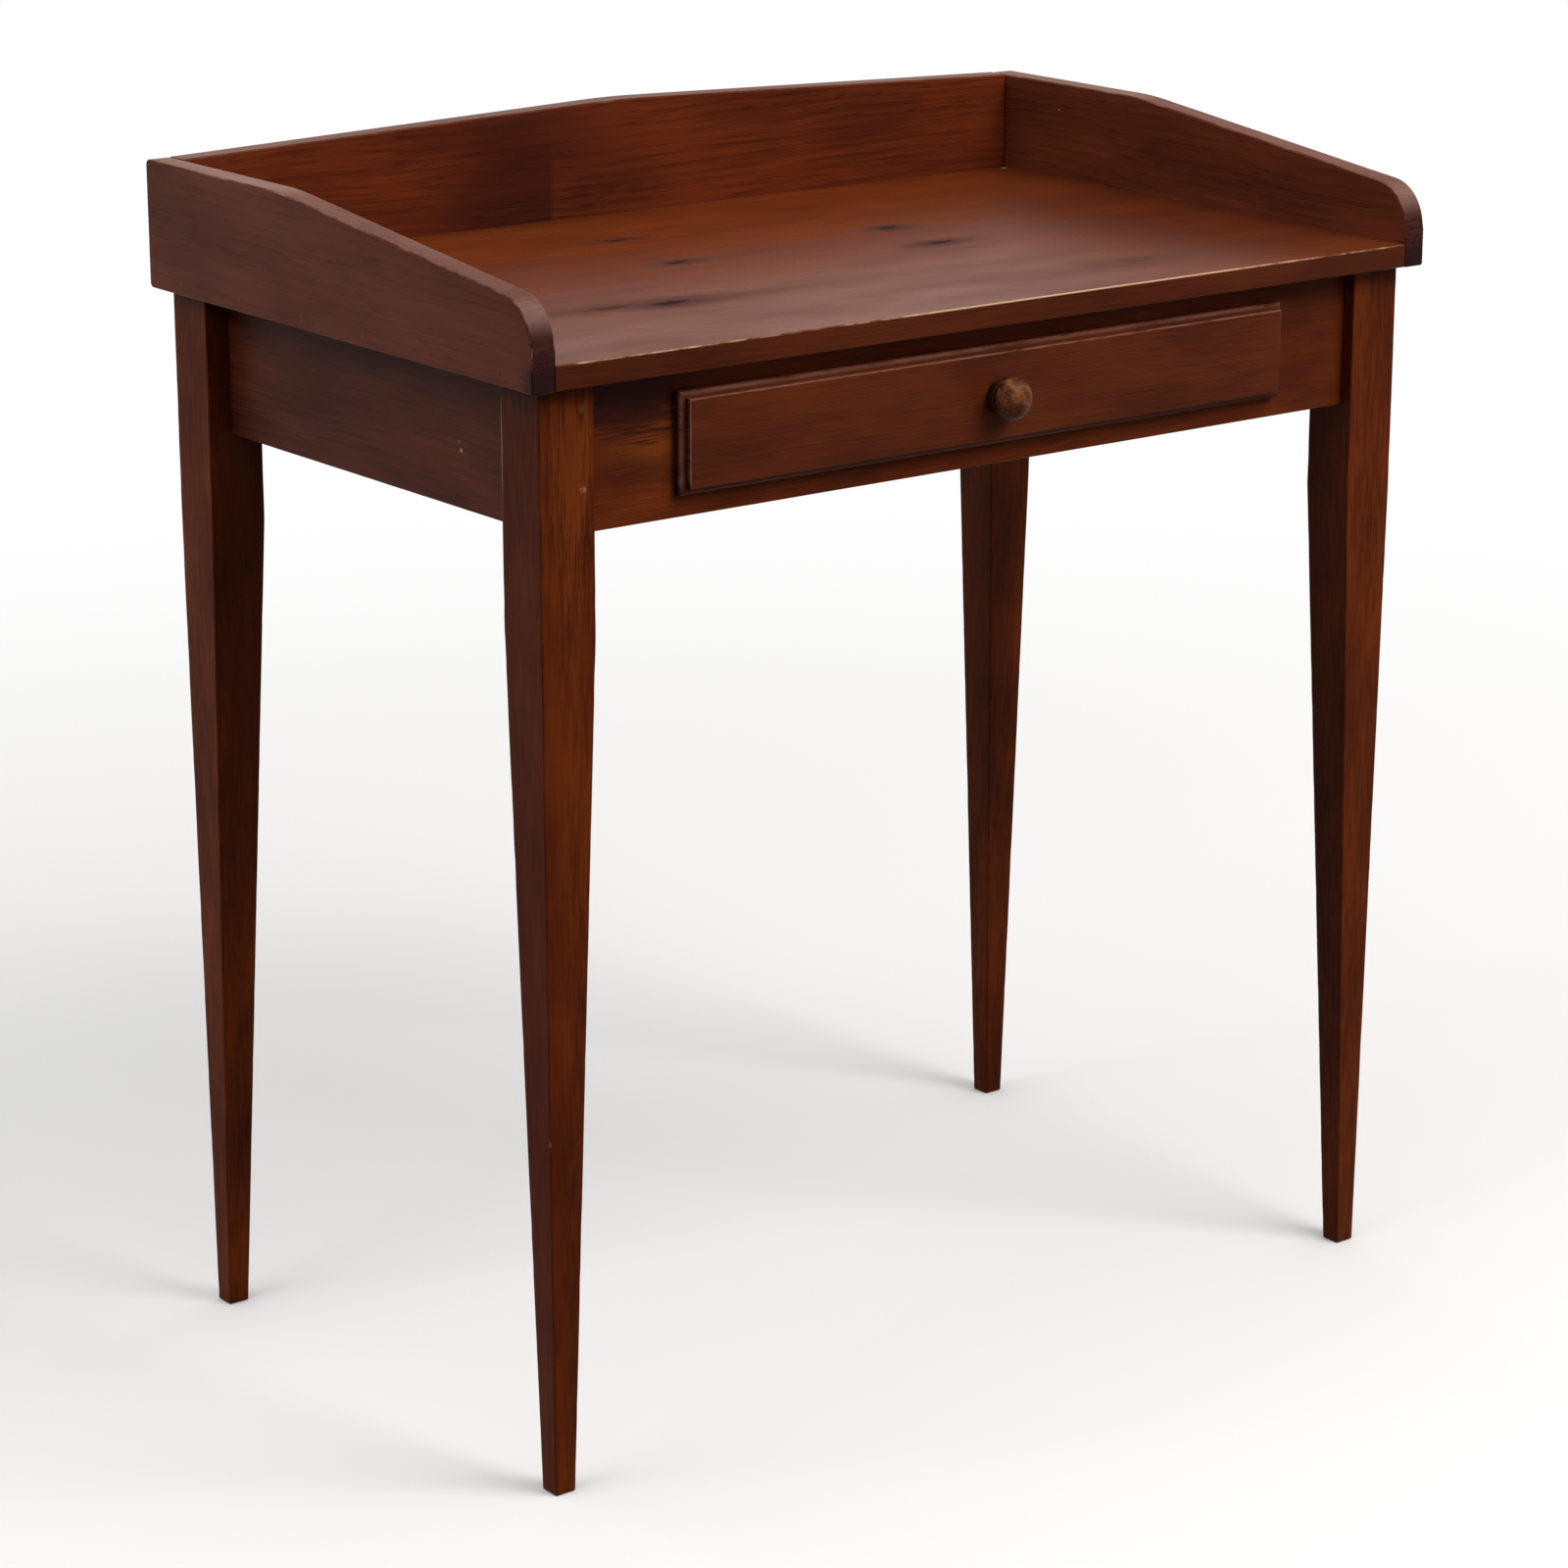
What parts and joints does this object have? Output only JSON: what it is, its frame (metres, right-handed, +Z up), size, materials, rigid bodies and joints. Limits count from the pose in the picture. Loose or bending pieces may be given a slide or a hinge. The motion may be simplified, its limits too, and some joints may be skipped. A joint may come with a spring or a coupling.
{
  "type": "writing desk",
  "caption": "Small writing desk on square tapered legs, with a low gallery round the back and sides of its top and a shallow lipped drawer pulled by a turned knob.",
  "frame": {"origin": "on the floor, under the middle of the whole desk with its knob", "axes": "+Z up, +X to the right seen from the front, -Y towards the user, where the drawer opens"},
  "size_m": [0.768, 0.471, 0.8444],
  "materials": {
    "stained_pine": "dark red-brown stain under satin varnish",
    "turned_wood": "stained end grain, worn paler",
    "bare_pine": "bare planed pine",
    "steel": "plain mild steel"
  },
  "bodies": {
    "root": {"table_top": "stained_pine", "side_board_left": "stained_pine", "side_board_right": "stained_pine", "back_board": "stained_pine", "leg_front_left": "stained_pine", "leg_front_right": "stained_pine", "leg_back_left": "stained_pine", "leg_back_right": "stained_pine", "front_rail": "stained_pine", "back_apron": "stained_pine", "side_apron_left": "stained_pine", "side_apron_right": "stained_pine", "rail_pegs": "turned_wood", "drawer_runner_left": "bare_pine", "drawer_runner_right": "bare_pine", "drawer_guide_left": "bare_pine", "drawer_guide_right": "bare_pine", "drawer_kicker_left": "bare_pine", "drawer_kicker_right": "bare_pine", "top_buttons": "bare_pine", "top_button_screws": "steel", "side_board_nails": "steel", "back_board_screws": "steel"},
    "drawer": {"drawer_front": "stained_pine", "drawer_side_left": "bare_pine", "drawer_side_right": "bare_pine", "drawer_back": "bare_pine", "drawer_bottom": "bare_pine", "drawer_bottom_nails": "steel", "drawer_knob": "turned_wood", "knob_screw": "steel"}
  },
  "joints": [
    {"name": "drawer_slide", "type": "slide", "parent": "root", "child": "drawer", "axis": [0, -1, 0], "range_m": [0, 0.29]}
  ]
}
